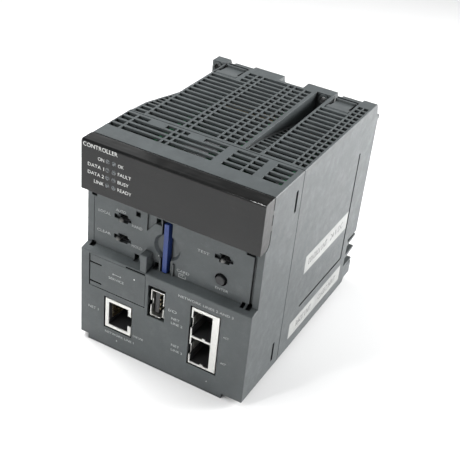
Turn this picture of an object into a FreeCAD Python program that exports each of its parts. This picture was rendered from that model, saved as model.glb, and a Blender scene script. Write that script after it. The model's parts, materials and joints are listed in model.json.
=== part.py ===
import FreeCAD, Part
import math
import os

# Rack-mounted controller module, three slots wide.
# Working axes: X across the front from its left side, Y back from the front plane,
# Z up from the underside of the case. Everything is in millimetres.
# export() moves the origin to the middle of the footprint, level with the bottom cover.

V = FreeCAD.Vector

# ---- driving dimensions ----
WIDTH = 83.4
HEIGHT = 98.0
REAR_Y = 113.8
REAR_STEP_Z = 2.2
DEPTH = 115.0
COVER_DROP = 2.35

WALL = 1.8
TOP_WALL = 1.1
FRONT_WALL = 2.0
SEAM_Y = 33.0
SEAM_GAP = 0.2
EDGE_R = 0.5
FIT = 0.1

# switch recess across the front
RECESS_Y = 4.8
RECESS_LO = 46.8
RECESS_LIP = 45.6
RECESS_HI = 75.2
SHALLOW = 0.7
WINDOWS = ((25.3, 69.4, 2.4), (34.8, 69.4, 2.4), (25.3, 47.9, 3.4), (34.8, 47.7, 3.0))
WINDOW_WIDTH = 2.2
GROOVES = ((3.2, 3.6, 0.15), (79.2, 80.6, 0.9))
TOP_SLITS = ((2.0, 4.7), (75.5, 79.2))
TOP_SLIT_Z = (70.5, 71.9)
BOTTOM_SLITS = ((2.2, 4.6), (76.0, 77.6), (78.6, 80.6))
BOTTOM_SLIT_Z = (45.3, 47.8)
LEVER_POCKET = (4.6, 4.0)
LEVER_ARMS = (4.5, 4.0, 2.0)
RIB_OUT = 0.8

# black lamp cover
CAP_Y = 7.0
CAP_CORNER_R = 3.0
CAP_WALL = 1.5
CAP_EDGE_R = 1.1
CAP_GAP = 0.7
CAP_TABS_Z = ((83.2, 85.6), (90.4, 92.2))
CAP_TAB_X = 0.9

# ventilation slots in the top
SLOT_W = 2.7
NARROW_SLOT_W = 2.1
SLOT_PITCH = 4.0
FRONT_ROW_Y = 18.0
REAR_ROW_Y = 36.3
REAR_ROWS = 17
FULL_REAR_ROWS = 14
SLOT_CUT_Z = 95.4
FRONT_SPANS = (
    (0.8, 5.8), (6.7, 25.3), (26.2, 28.4), (29.2, 49.9), (54.2, 62.9), (63.6, 68.3), (72.4, 81.0)
)
BROKEN_SPANS = ((0.8, 5.8), (6.7, 12.6), (20.8, 25.6), (26.3, 28.6), (29.3, 31.9), (39.2, 49.9))
BESIDE_SPANS = ((63.6, 68.3), (72.4, 81.0))
NARROW_SPAN = (54.2, 62.9)
REAR_SPANS = (
    (26.4, 28.6), (29.4, 41.9), (42.7, 45.1), (45.9, 50.0), (50.8, 53.9), (77.3, 79.5), (80.1, 82.3)
)
FULL_ROW_SPANS = ((8.0, 25.5), (63.8, 76.6))
SHORT_ROW_SPANS = ((21.6, 25.5),)

# screw troughs and rear tabs
TROUGHS = ((-1.0, 7.1), (55.7, 62.9))
TROUGH_START_Y = 34.0
TROUGH_BEND = (46.0, 96.7)
TROUGH_END = (104.0, 86.0)
TAB_Y = 109.6
TAB_FRONT_Y = 103.4
LEDGE_Z = 90.0
TAB_GAPS = ((7.1, 20.5), (36.0, 48.6), (63.6, 76.7))
SCREWS_X = (3.0, 59.2)
SCREW_Z = 95.0
SCREW_R = 1.7
SCREW_FACE_Y = 109.8

# circuit boards stand parallel to the sides
BOARD_T = 1.6
INTERFACE_X = 10.9
CARD_BOARD_X = 43.3
MAIN_X = 71.5
BOARD_BOTTOM = 4.0
BOARD_TOP = 86.0
BOARD_REAR = 104.0

# sockets in the lower front panel: (x_lo, x_hi, z_lo, z_hi)
LAN_SINGLE = (13.2, 26.6, 8.9, 24.5)
LAN_DUAL = (56.2, 69.3, 9.2, 38.9)
USB_HOST = (36.0, 42.5, 25.4, 38.8)
USB_HOLE = (34.7, 43.3, 24.6, 40.8)
PORT_MARGIN = 0.65
PORT_FACE_Y = 0.2
TIN = 0.4
PLUG_DEPTH = 13.0
LATCH_WIDTH = 5.4
CONTACT_PITCH = 1.02
CONTACT_WIDE = 0.46
CONTACT_RISE = 1.2

# plug spaces: (x_lo, x_hi, z_lo, z_hi, side the latch points to)
PLUGS = {
    "single": ((15.0, 25.0, 10.5, 22.8, 1),),
    "dual": ((56.9, 66.1, 10.2, 23.2, -1), (56.9, 66.1, 24.1, 37.4, -1)),
}

# service door
DOOR = (4.5, 33.2, 28.0, 44.4)
DOOR_T = 1.8
DOOR_AXIS = (5.4, 0.9)
FINGER_NOTCH_X = (23.1, 33.0)
FINGER_NOTCH_DEPTH = 1.8

# bottom cover over the battery, and the skirt of the front shell that hides its front edge
SKIRT_X = (4.3, 73.5)
SKIRT_T = 2.0
COVER = (4.3, 73.5, 2.3, 88.0)
COVER_T = 2.3
COVER_AXIS = (88.2, -1.2)
LUGS_X = (10.0, 64.8)
LUG_WIDTH = 3.0
HINGE_PIN_R = 0.38
TUB = (16.0, 38.0, 42.0, 80.0, 17.0)
TUB_WALL = 1.5

# operators: centre x, centre z, and where the lever points at rest in degrees
LEVERS = {"upper": (18.0, 64.6, 0.0), "lower": (18.1, 54.6, -15.0), "right": (66.3, 64.4, 0.0)}
LEVER_PIVOT_Y = 9.8
BUTTON = (65.65, 54.2)
BUTTON_R = 2.15
BUTTON_HOLE_R = 2.85
BUTTON_OUT = 1.2

# round finger scoop behind the card: centre x, centre z, radius, depth
SCOOP = (39.8, 59.0, 6.3, 1.5)

# upright guard standing in the recess: x, z
GUARD_X = (29.7, 33.0)
GUARD_Z = (44.9, 53.9)
GUARD_Y = 0.4

# memory card
CARD_X = (38.5, 40.6)
CARD_Z = (46.9, 70.5)
CARD_Y = (3.9, 35.9)

# lamps
LAMP_X = (12.8, 15.9)
LAMP_Z = (91.6, 87.7, 84.2, 80.6)
LAMP_R = 1.0
LED_BOARD_Y = 9.2

# stickers on the right side: (y_lo, y_hi), (z_lo, z_hi)
LABEL_UPPER = ((49.5, 96.4), (38.0, 47.5))
LABEL_LOWER = ((42.3, 99.3), (6.0, 14.8))
LABEL_T = 0.15

# L-shaped groove in the right side: its upright in y and z, its foot in y and z, depth
GROOVE_UPRIGHT = ((96.5, 97.8), (19.4, 78.0))
GROOVE_FOOT = ((50.3, 97.8), (19.4, 20.6))
GROOVE_DEPTH = 1.0

# fixing hooks on the top: (x_lo, x_hi) of each pad
HOOKS = {"left": (7.9, 18.9), "right": (65.0, 75.8)}
HOOK_PIVOT = (93.4, 95.4)
HOOK_PIN_R = 1.0
HOOK_PIN_OUT = 0.7
HOOK_SLIT = (95.6, 1.0)
HOOK_NECK = 0.3
HOOK_LIP = (103.2, 106.2)
LIP_RIDGE = 0.85
LIP_GROOVE_DEPTH = 2.0
WELL_FIT = 0.4

# finned notches at the rear edges
FIN_TIPS_Z = (25.0, 17.8, 10.6)
NOTCH_Y = 103.5
NOTCH_Z = (9.5, 27.5)

# backplane connector: x, z, raised frame round it
REAR_PLUG = ((8.0, 20.0), (30.0, 75.0))
FRAME_WIDTH = 1.6
FRAME_OUT = 0.7
PIN_COLUMNS = (12.3, 15.7)
PINS_IN_COLUMN = 16
PIN_PITCH = 2.5
FIRST_PIN_Z = 34.0

# battery and its wires
CELL_AXIS = (24.0, 8.6)
CELL_R = 7.2
CELL_Y = (46.0, 72.0)
WIRE_R = 0.6
WIRES_Z = (7.7, 9.5)

# processor and its heat sink on the main board: centre y, centre z
CHIP_CENTRE = (59.0, 55.0)
CHIP_SIZE = 22.0
CHIP_T = 2.2
SINK_SIZE = 28.0
SINK_FINS = 8
SINK_FIN_T = 1.2


# ---- small builders ----
def block(x, y, z):
    """Box from three (low, high) pairs."""
    return Part.makeBox(x[1] - x[0], y[1] - y[0], z[1] - z[0], V(x[0], y[0], z[0]))


def rod(start, end, radius):
    """Cylinder from one point to another."""
    along = V(*end) - V(*start)
    return Part.makeCylinder(radius, along.Length, V(*start), along)


def prism(points, axis, low, high):
    """Straight-sided outline drawn across one axis and pushed along it from low to high."""
    place = {
        "x": lambda a, b: V(low, a, b),
        "y": lambda a, b: V(a, low, b),
        "z": lambda a, b: V(a, b, low),
    }[axis]
    push = {"x": V(high - low, 0, 0), "y": V(0, high - low, 0), "z": V(0, 0, high - low)}[axis]
    corners = [place(a, b) for a, b in points]
    return Part.Face(Part.makePolygon(corners + corners[:1])).extrude(push)


def joined(shapes):
    """One solid from shapes that meet."""
    whole = shapes[0].multiFuse(shapes[1:]) if len(shapes) > 1 else shapes[0]
    return whole.removeSplitter()


def group(shapes):
    """Separate solids kept together in one node."""
    return Part.makeCompound(shapes)


def without(shape, cutters):
    """The shape less everything in the list."""
    return shape.cut(Part.makeCompound(cutters)) if cutters else shape


def rounded(shape, radius, pick):
    """Fillet the straight edges whose middle point passes the test."""
    edges = []
    for edge in shape.Edges:
        if pick(edge.CenterOfMass, edge.tangentAt(edge.FirstParameter)):
            edges.append(edge)
    return shape.makeFillet(radius, edges)


# ---- casing ----
def cap_profile(gap):
    """Side outline of the lamp cover, grown by gap, as a face at X = 0."""
    radius = CAP_CORNER_R + gap
    centre_y = CAP_Y - CAP_CORNER_R
    centre_z = RECESS_HI + CAP_CORNER_R
    bottom = RECESS_HI - gap
    rear = CAP_Y + gap
    half = math.sqrt(0.5) * radius
    low = V(0, centre_y, bottom)
    middle = V(0, centre_y + half, centre_z - half)
    high = V(0, rear, centre_z)
    front_low = V(0, -gap, bottom)
    front_high = V(0, -gap, HEIGHT + gap)
    rear_high = V(0, rear, HEIGHT + gap)
    edges = [
        Part.LineSegment(front_low, low).toShape(),
        Part.Arc(low, middle, high).toShape(),
        Part.LineSegment(high, rear_high).toShape(),
        Part.LineSegment(rear_high, front_high).toShape(),
        Part.LineSegment(front_high, front_low).toShape(),
    ]
    return Part.Face(Part.Wire(edges))


def front_outside():
    """Solid outline of the front shell, before it is hollowed."""
    lip = [(0.0, 0.0), (0.0, RECESS_LIP), (RECESS_Y, RECESS_LO), (RECESS_Y, HEIGHT)]
    seam = SEAM_Y - SEAM_GAP
    solid = prism(lip + [(seam, HEIGHT), (seam, 0.0)], "x", 0.0, WIDTH)
    solid = rounded(solid, EDGE_R, lambda p, t: abs(t.y) > 0.9 and abs(p.x - WIDTH / 2) > 40)
    solid = rounded(solid, EDGE_R, lambda p, t: abs(t.z) > 0.9 and p.y < 0.1)
    cap = cap_profile(CAP_GAP)
    cap.translate(V(-1.0, 0, 0))
    return solid.cut(cap.extrude(V(WIDTH + 2.0, 0, 0)))


def front_inside():
    """Space inside the front shell."""
    back = SEAM_Y + 1.0
    wall = RECESS_Y + FRONT_WALL
    outline = [
        (FRONT_WALL, WALL),
        (FRONT_WALL, RECESS_LIP - 1.6),
        (wall, RECESS_LO - 1.6),
        (wall, RECESS_HI - 1.6),
        (CAP_Y + WALL, RECESS_HI + 3.4),
        (CAP_Y + WALL, HEIGHT - TOP_WALL),
        (back, HEIGHT - TOP_WALL),
        (back, WALL),
    ]
    return prism(outline, "x", WALL, WIDTH - WALL)


def top_slots(spans, row_y, thick_y=SLOT_W):
    """One row of ventilation slots through the top."""
    half = thick_y / 2
    return [block(span, (row_y - half, row_y + half), (SLOT_CUT_Z, HEIGHT + 1)) for span in spans]


def front_vents():
    """The four slot rows in the top of the front shell."""
    cuts = []
    for row in range(3):
        cuts += top_slots(FRONT_SPANS, FRONT_ROW_Y + row * SLOT_PITCH)
    last = FRONT_ROW_Y + 3 * SLOT_PITCH
    cuts += top_slots(BROKEN_SPANS + BESIDE_SPANS, last)
    return cuts + top_slots((NARROW_SPAN,), last, NARROW_SLOT_W)


def switch_window(x, z):
    """Pocket and side arms round one toggle lever."""
    reach = RECESS_Y + FRONT_WALL + 0.5
    wide, tall = LEVER_POCKET
    left, right, thick = LEVER_ARMS
    pocket = block((x - wide / 2, x + wide / 2), (RECESS_Y - 1, reach), (z - tall / 2, z + tall / 2))
    arms = block((x - left, x + right), (RECESS_Y - 1, RECESS_Y + 1.2), (z - thick / 2, z + thick / 2))
    return pocket.fuse(arms)


def recess_cuts():
    """Everything sunk into or through the floor of the switch recess."""
    floor = RECESS_Y
    back = floor + FRONT_WALL + 0.5
    shallow = (floor - 1.0, floor + SHALLOW)
    through = (floor - 1.0, back)
    cuts = []
    for x, z, _ in LEVERS.values():
        cuts.append(switch_window(x, z))
    for x, z, tall in WINDOWS:
        across = (x - WINDOW_WIDTH / 2, x + WINDOW_WIDTH / 2)
        cuts.append(block(across, through, (z - tall / 2, z + tall / 2)))
    for x_lo, x_hi, deep in GROOVES:
        cuts.append(block((x_lo, x_hi), (floor - 1.0, floor + deep), (RECESS_LO + 0.6, RECESS_HI + 0.1)))
    cuts += [block(x, through, TOP_SLIT_Z) for x in TOP_SLITS]
    cuts += [block(x, (floor - 2.0, back), BOTTOM_SLIT_Z) for x in BOTTOM_SLITS]
    card = (CARD_X[0] - 0.9, CARD_X[1] + 1.2)
    cuts.append(block(card, through, (CARD_Z[0] - 0.2, CARD_Z[1] + 0.7)))
    upper = [(29.7, RECESS_HI), (29.7, 63.2), (33.7, 68.2), (37.2, 68.2), (37.2, RECESS_HI)]
    cuts.append(prism(upper, "y", *shallow))
    lower = block((GUARD_X[1], 36.8), shallow, (RECESS_LO, 51.0))
    cuts.append(rounded(lower, 1.8, lambda p, t: abs(t.y) > 0.9 and p.z > 50.9 and p.x > 36))
    x, z, radius, deep = SCOOP
    dish = Part.makeCone(radius, radius - 1.0, deep, V(x, floor, z), V(0, 1, 0))
    cuts.append(dish.fuse(rod((x, floor - 1.0, z), (x, floor, z), radius)))
    x, z = BUTTON
    cuts.append(rod((x, floor - 1.0, z), (x, back, z), BUTTON_HOLE_R))
    return cuts


def recess_ribs():
    """Raised edges on the recess floor beside the card slot."""
    floor = RECESS_Y
    ribs = [
        block((36.8, 37.5), (floor - RIB_OUT, floor + 0.2), (RECESS_LO - 0.3, 71.8)),
        block((36.8, 43.0), (floor - RIB_OUT, floor + 0.2), (45.9, 46.6)),
        block((43.0, 43.7), (floor - RIB_OUT, floor + 0.2), (45.9, 52.5)),
    ]
    guard = block(GUARD_X, (GUARD_Y, floor + 0.2), GUARD_Z)
    ribs.append(rounded(guard, 0.4, lambda p, t: p.y < GUARD_Y + 0.1 and p.z > GUARD_Z[0] + 0.1))
    return ribs


def port_holes():
    """Openings in the lower panel for the sockets."""
    cuts = []
    for x_lo, x_hi, z_lo, z_hi in (LAN_SINGLE, LAN_DUAL):
        grown = (x_lo - PORT_MARGIN, x_hi + PORT_MARGIN)
        cuts.append(block(grown, (-1, 8), (z_lo - PORT_MARGIN, z_hi + PORT_MARGIN)))
    x_lo, x_hi, z_lo, z_hi = USB_HOLE
    cuts.append(block((x_lo, x_hi), (-1, 8), (z_lo, z_hi)))
    return cuts


def door_bay():
    """Shallow tray behind the service door."""
    return block((3.0, 34.6), (FRONT_WALL - 0.1, 4.0), (26.6, RECESS_LIP - 0.2))


def door_bay_cuts():
    """Door opening, hinge pivots, finger notch and the service socket's window."""
    x_lo, x_hi, z_lo, z_hi = DOOR
    ax, ay = DOOR_AXIS
    return [
        block((x_lo - FIT, x_hi + FIT), (-1, DOOR_T + 0.3), (z_lo - FIT, z_hi + FIT)),
        rod((ax, ay, z_lo - 1.0), (ax, ay, z_hi + 0.9), 0.5),
        block(FINGER_NOTCH_X, (-1, FINGER_NOTCH_DEPTH), (z_hi, z_hi + 0.85)),
        block((12.6, 21.4), (1, 5), (32.4, 37.2)),
    ]


def side_marks(x_face, inward):
    """Snap slots in the side wall of the front shell."""
    cuts = []
    edges = sorted((x_face - inward * 0.5, x_face + inward * 1.3))
    for y, z_lo, z_hi in ((28.2, 81.0, 91.0), (26.6, 4.7, 14.8)):
        cuts.append(block(edges, (y - 0.9, y + 0.9), (z_lo, z_hi)))
    return cuts


def skirt():
    """Edge under the lower panel, in front of the bottom cover."""
    return block(SKIRT_X, (0.0, SKIRT_T), (-COVER_DROP, 1.0))


def front_shell():
    """Front half of the casing: lower panel, switch recess and front part of the top."""
    cx, cz = (4.0, 79.4), (79.4, 95.4)
    shell = front_outside().cut(front_inside())
    shell = joined([shell, skirt(), door_bay()] + recess_ribs())
    cuts = front_vents() + recess_cuts() + port_holes() + door_bay_cuts()
    cuts.append(block(cx, (CAP_Y - 1, CAP_Y + WALL + 1), cz))
    cuts += side_marks(0.0, 1.0) + side_marks(WIDTH, -1.0)
    return without(shell, cuts)


def rear_outside():
    """Solid outline of the rear case, before it is hollowed."""
    seam = SEAM_Y + SEAM_GAP
    outline = [
        (seam, 0.0),
        (seam, HEIGHT),
        (TAB_Y, HEIGHT),
        (112.0, 92.0),
        (REAR_Y, LEDGE_Z),
        (REAR_Y, REAR_STEP_Z),
        (107.0, REAR_STEP_Z),
        (105.8, 0.0),
    ]
    solid = prism(outline, "x", 0.0, WIDTH)
    return rounded(solid, EDGE_R, lambda p, t: abs(t.y) > 0.9 and abs(p.x - WIDTH / 2) > 40)


def rear_inside():
    """Space inside the rear case."""
    across = (WALL, WIDTH - WALL)
    upper = block(across, (SEAM_Y - 1, TAB_FRONT_Y - WALL), (WALL, HEIGHT - TOP_WALL))
    rear = block(across, (TAB_FRONT_Y - WALL - 1, REAR_Y - WALL), (REAR_STEP_Z + WALL, LEDGE_Z - WALL))
    return upper.fuse(rear)


def trough_outline(drop, rear):
    """Side outline of a screw trough whose floor is lowered by drop."""
    return [
        (TROUGH_START_Y, HEIGHT + 1.0 if drop == 0 else HEIGHT),
        (TROUGH_START_Y, HEIGHT - 0.6 - drop),
        (TROUGH_BEND[0], TROUGH_BEND[1] - drop),
        (rear, TROUGH_END[1] - drop),
        (rear, HEIGHT + 1.0 if drop == 0 else HEIGHT),
    ]


def trough_walls():
    """Material round the screw troughs."""
    walls = []
    for x_lo, x_hi in TROUGHS:
        low = max(x_lo - TUB_WALL, 0.0)
        walls.append(prism(trough_outline(TUB_WALL, TAB_FRONT_Y), "x", low, x_hi + TUB_WALL))
    return walls


def trough_cuts():
    """The troughs themselves, with their floor slots and screw holes."""
    cuts = []
    for x_lo, x_hi in TROUGHS:
        cuts.append(prism(trough_outline(0, TROUGH_END[0]), "x", x_lo, x_hi))
        mid = (max(x_lo, 0.0) + x_hi) / 2
        for row in range(10):
            y = REAR_ROW_Y + row * SLOT_PITCH
            cuts.append(block((mid - 2.6, mid + 2.6), (y - SLOT_W / 2, y + SLOT_W / 2), (86.0, HEIGHT + 1)))
    for x in SCREWS_X:
        cuts.append(rod((x, TAB_FRONT_Y - 2, SCREW_Z), (x, DEPTH + 1, SCREW_Z), SCREW_R))
        cuts.append(rod((x, SCREW_FACE_Y, SCREW_Z), (x, DEPTH + 1, SCREW_Z), 2.8))
    return cuts


def rear_vents():
    """The rows of slots in the top of the rear case."""
    cuts = []
    for row in range(REAR_ROWS):
        wide = FULL_ROW_SPANS if row < FULL_REAR_ROWS else SHORT_ROW_SPANS
        cuts += top_slots(REAR_SPANS + wide, REAR_ROW_Y + row * SLOT_PITCH)
    return cuts


def hook_wells():
    """Tubs under the fixing hooks, as the material and the cut that hollows it."""
    walls = []
    cuts = []
    for x_lo, x_hi in HOOKS.values():
        walls.append(block((x_lo - 2.0, x_hi + 2.0), (89.6, TAB_FRONT_Y), (90.2, HEIGHT)))
        well = block((x_lo - WELL_FIT, x_hi + WELL_FIT), (91.1, TAB_FRONT_Y + 1), (91.8, HEIGHT + 1))
        y, z = HOOK_PIVOT
        cuts.append(well)
        cuts.append(rod((x_lo - HOOK_PIN_OUT, y, z), (x_hi + HOOK_PIN_OUT, y, z), HOOK_PIN_R))
    return walls, cuts


def tab_gaps():
    """Gaps between the four tabs along the top of the rear."""
    return [block(gap, (TAB_FRONT_Y, DEPTH + 1), (LEDGE_Z, HEIGHT + 1)) for gap in TAB_GAPS]


def comb(x_lo, x_hi):
    """Three slanted fins standing in the notch at a rear edge."""
    fins = []
    for tip_z in FIN_TIPS_Z:
        outline = [(103.4, tip_z - 1.6), (113.4, tip_z - 0.1), (113.4, tip_z + 1.1), (103.4, tip_z + 0.4)]
        fins.append(prism(outline, "x", x_lo, x_hi))
    return fins


def rear_notches():
    """Material behind, and cut of, the finned notch at each rear edge."""
    walls = []
    cuts = []
    fins = []
    for x_lo, x_hi, cut_lo, cut_hi in ((0.0, 7.0, -1.0, 5.4), (76.4, WIDTH, 78.0, WIDTH + 1)):
        walls.append(block((x_lo, x_hi), (NOTCH_Y - 1.6, REAR_Y), (NOTCH_Z[0] - 1.6, NOTCH_Z[1] + 1.6)))
        cuts.append(block((cut_lo, cut_hi), (NOTCH_Y, DEPTH + 1), NOTCH_Z))
        fins += comb(max(cut_lo, 0.0), min(cut_hi, WIDTH))
    return walls, cuts, fins


def rear_nubs():
    """Points that stick out of the rear: side nubs and the two bottom locating feet."""
    nubs = []
    for x_lo in (0.0, WIDTH - 1.8):
        nubs.append(block((x_lo, x_lo + 1.8), (REAR_Y - 3, DEPTH), (89.0, 91.0)))
    for x_lo in (8.0, 69.4):
        nubs.append(block((x_lo, x_lo + 6.0), (REAR_Y - 1, DEPTH), (3.0, 7.0)))
    return nubs


def rear_frame():
    """Raised rim round the backplane connector and two stiffening ribs beside it."""
    (x_lo, x_hi), (z_lo, z_hi) = REAR_PLUG
    y = (REAR_Y - 1.0, REAR_Y + FRAME_OUT)
    grow = FRAME_WIDTH
    rim = block((x_lo - grow, x_hi + grow), y, (z_lo - grow, z_hi + grow))
    ribs = [block((x, x + grow), y, (12.0, 82.0)) for x in (34.0, 66.0)]
    return [rim] + ribs


def board_rails():
    """Ribs on the floor that the lower edges of the boards stand between."""
    rails = []
    for x in (INTERFACE_X, CARD_BOARD_X, MAIN_X):
        for low in (x - 1.2 - FIT, x + BOARD_T + FIT):
            rails.append(block((low, low + 1.2), (36.0, 100.0), (WALL - 0.2, 6.6)))
    return rails


def battery_tub():
    """Walls and roof of the battery compartment."""
    x_lo, x_hi, y_lo, y_hi, z_hi = TUB
    out = TUB_WALL
    return block((x_lo - out, x_hi + out), (y_lo - out, y_hi + out), (WALL - 0.2, z_hi + out))


def cover_lugs():
    """Two ears under the case that carry the bottom cover's hinge pins."""
    y, z = COVER_AXIS
    return [block((x, x + LUG_WIDTH), (y - 0.8, y + 0.8), (z - 0.8, 0.5)) for x in LUGS_X]


def label_pocket(y, z):
    """Shallow bed for a sticker on the right side."""
    return block((WIDTH - LABEL_T, WIDTH + 1), y, z)


def side_groove():
    """L-shaped groove in the right side, upright and then forward along the bottom."""
    x = (WIDTH - GROOVE_DEPTH, WIDTH + 1)
    return [block(x, *GROOVE_UPRIGHT), block(x, *GROOVE_FOOT)]


def rear_case():
    """Rear part of the casing, with the slotted top, screw troughs, tabs and hook wells."""
    wells, well_cuts = hook_wells()
    notch_walls, notch_cuts, fins = rear_notches()
    shell = rear_outside().cut(rear_inside())
    inner = [battery_tub()] + trough_walls() + wells + notch_walls + board_rails()
    shell = joined([shell] + inner + rear_frame())
    x_lo, x_hi, y_lo, y_hi, z_hi = TUB
    cuts = trough_cuts() + rear_vents() + well_cuts + tab_gaps() + notch_cuts + side_groove()
    cuts.append(block((x_lo, x_hi), (y_lo, y_hi), (-1, z_hi)))
    (plug_lo, plug_hi), (plug_bottom, plug_top) = REAR_PLUG
    hole = (plug_lo - FIT, plug_hi + FIT), (REAR_Y - 3, DEPTH + 1), (plug_bottom - FIT, plug_top + FIT)
    cuts.append(block(*hole))
    cuts.append(label_pocket(*LABEL_UPPER))
    cuts.append(label_pocket(*LABEL_LOWER))
    shell = without(shell, cuts)
    bosses = []
    for x in SCREWS_X:
        ring = rod((x, TAB_FRONT_Y, SCREW_Z), (x, TROUGH_END[0] + 0.2, SCREW_Z), 2.6)
        bosses.append(ring.cut(rod((x, 100, SCREW_Z), (x, 106, SCREW_Z), SCREW_R)))
    y, z = COVER_AXIS
    shell = joined([shell] + fins + rear_nubs() + bosses + cover_lugs())
    return without(shell, [rod((9.0, y, z), (68.8, y, z), 0.4)])


def side_label(y, z):
    """Sticker lying flush in its bed."""
    return block((WIDTH - LABEL_T, WIDTH), (y[0] + 0.05, y[1] - 0.05), (z[0] + 0.05, z[1] - 0.05))


def cap_tabs():
    """Snap tabs at both ends of the lamp cover, which bridge the gap behind it."""
    tabs = []
    for x_lo in (0.0, WIDTH - CAP_TAB_X):
        for z in CAP_TABS_Z:
            tabs.append(block((x_lo, x_lo + CAP_TAB_X), (CAP_Y - CAP_WALL, CAP_Y + CAP_GAP), z))
    return tabs


def lamp_cover():
    """Glossy cap that wraps over the top front, with a hole for each lamp."""
    outer = cap_profile(0.0).extrude(V(WIDTH, 0, 0))
    outer = rounded(outer, CAP_EDGE_R, lambda p, t: abs(t.x) > 0.9 and p.y < 0.1 and p.z > HEIGHT - 0.1)
    outer = joined([outer] + cap_tabs())
    wall = CAP_WALL
    hollow = block((wall, WIDTH - wall), (wall, CAP_Y + 1), (RECESS_HI + wall + 1.6, HEIGHT - wall))
    low = block((wall, WIDTH - wall), (wall, CAP_Y - CAP_CORNER_R), (RECESS_HI + wall, HEIGHT - wall))
    holes = [hollow, low]
    for x in LAMP_X:
        for z in LAMP_Z:
            holes.append(rod((x, -1, z), (x, wall + 1, z), LAMP_R + 0.05))
    return without(outer, holes)


# ---- lamps behind the cover ----
def light_guides():
    """Clear rods from each lamp chip to the face of the cover, on one carrier strip."""
    rods = [block((11.0, 17.7), (5.2, 6.4), (79.0, 93.4))]
    for x in LAMP_X:
        for z in LAMP_Z:
            rods.append(rod((x, 0.0, z), (x, 7.6, z), LAMP_R))
    return joined(rods)


def indicator_leds():
    """Eight small lamp chips on the lamp board."""
    chips = []
    for x in LAMP_X:
        for z in LAMP_Z:
            chips.append(block((x - 0.8, x + 0.8), (LED_BOARD_Y - 0.9, LED_BOARD_Y), (z - 0.5, z + 0.5)))
    return group(chips)


def led_board():
    """Board behind the lamp cover."""
    board = block((6.0, 60.0), (LED_BOARD_Y, LED_BOARD_Y + 1.4), (79.8, 95.0))
    holes = [rod((x, 0, 87.4), (x, 20, 87.4), 1.2) for x in (8.4, 57.6)]
    return without(board, holes)


# ---- boards ----
def side_board(x, front_y):
    """Upright board with its upper front corner stepped back behind the lamp board."""
    outline = [
        (front_y, BOARD_BOTTOM),
        (BOARD_REAR, BOARD_BOTTOM),
        (BOARD_REAR, BOARD_TOP),
        (14.0, BOARD_TOP),
        (14.0, 76.0),
        (7.8, 76.0),
        (7.8, 42.0),
        (front_y, 42.0),
    ]
    if front_y >= 7.8:
        outline = outline[:6]
    board = prism(outline, "x", x, x + BOARD_T)
    return without(board, [rod((x - 1, y, z), (x + BOARD_T + 1, y, z), 1.6) for y, z in PILLARS])


PILLARS = ((98.0, 12.0), (98.0, 80.0), (38.0, 80.0))


def interface_board():
    """Left board: single network socket, service socket and the rear connector."""
    return side_board(INTERFACE_X, 4.6)


def card_board():
    """Middle board: memory card socket and peripheral socket."""
    return side_board(CARD_BOARD_X, 7.8)


def main_board():
    """Right board: processor, memory and the double network socket."""
    return side_board(MAIN_X, 4.6)


def standoffs():
    """Hexagonal pillars that hold the three boards apart."""
    pillars = []
    for x_lo, x_hi in ((INTERFACE_X + BOARD_T, CARD_BOARD_X), (CARD_BOARD_X + BOARD_T, MAIN_X)):
        for y, z in PILLARS:
            corners = []
            for corner in range(6):
                angle = math.radians(60 * corner)
                corners.append((y + 2.9 * math.cos(angle), z + 2.9 * math.sin(angle)))
            pillars.append(prism(corners, "x", x_lo, x_hi))
    return group(pillars)


def board_screws():
    """Pan-head screws through the outer boards into the pillars."""
    screws = []
    for y, z in PILLARS:
        for face, way in ((INTERFACE_X, -1.0), (MAIN_X + BOARD_T, 1.0)):
            head = rod((face, y, z), (face + way * 1.8, y, z), 2.8)
            shank = rod((face - way * BOARD_T, y, z), (face, y, z), 1.5)
            slot_x = sorted((face + way * 1.2, face + way * 2.5))
            cross = [block(slot_x, (y - 1.6, y + 1.6), (z - 0.3, z + 0.3))]
            cross.append(block(slot_x, (y - 0.3, y + 0.3), (z - 1.6, z + 1.6)))
            screws.append(without(head.fuse(shank).removeSplitter(), cross))
    return group(screws)


def board_links():
    """Stacking connectors from board to board."""
    links = []
    for x_lo, x_hi in ((INTERFACE_X + BOARD_T, CARD_BOARD_X), (CARD_BOARD_X + BOARD_T, MAIN_X)):
        links.append(block((x_lo, x_hi), (86.0, 92.0), (22.0, 46.0)))
    return group(links)


def operator_board(name):
    """Small upright board that carries the toggle switches of one side."""
    x = {"left": (13.0, 33.0), "right": (60.5, 71.2)}[name]
    return block(x, (13.5, 14.9), (49.0, 70.5))


# ---- sockets ----
def plug_cavity(x_lo, x_hi, z_lo, z_hi, latch_side):
    """Space of one network socket: the plug's room and the notch for its latch."""
    room = block((x_lo, x_hi), (-1.0, PLUG_DEPTH), (z_lo, z_hi))
    middle = (z_lo + z_hi) / 2
    notch_x = (x_hi - 0.1, x_hi + 1.18) if latch_side > 0 else (x_lo - 0.28, x_lo + 0.1)
    notch_z = (middle - LATCH_WIDTH / 2, middle + LATCH_WIDTH / 2)
    return room.fuse(block(notch_x, (-1.0, PLUG_DEPTH), notch_z))


def lan_cavities(kind):
    """Plug spaces of a socket block."""
    return [plug_cavity(*plug) for plug in PLUGS[kind]]


def latch_gates(kind):
    """Gaps in the rim of the tin case, in front of each latch."""
    gates = []
    for x_lo, x_hi, z_lo, z_hi, latch_side in PLUGS[kind]:
        middle = (z_lo + z_hi) / 2
        x = (x_hi, x_hi + 3.0) if latch_side > 0 else (x_lo - 3.0, x_lo)
        z = (middle - LATCH_WIDTH / 2, middle + LATCH_WIDTH / 2)
        gates.append(block(x, (-1.0, PORT_FACE_Y + 1.4), z))
    return gates


def lan_block(kind):
    """Outline of a socket block and how deep it runs."""
    return (LAN_SINGLE, 17.0) if kind == "single" else (LAN_DUAL, 23.0)


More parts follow.
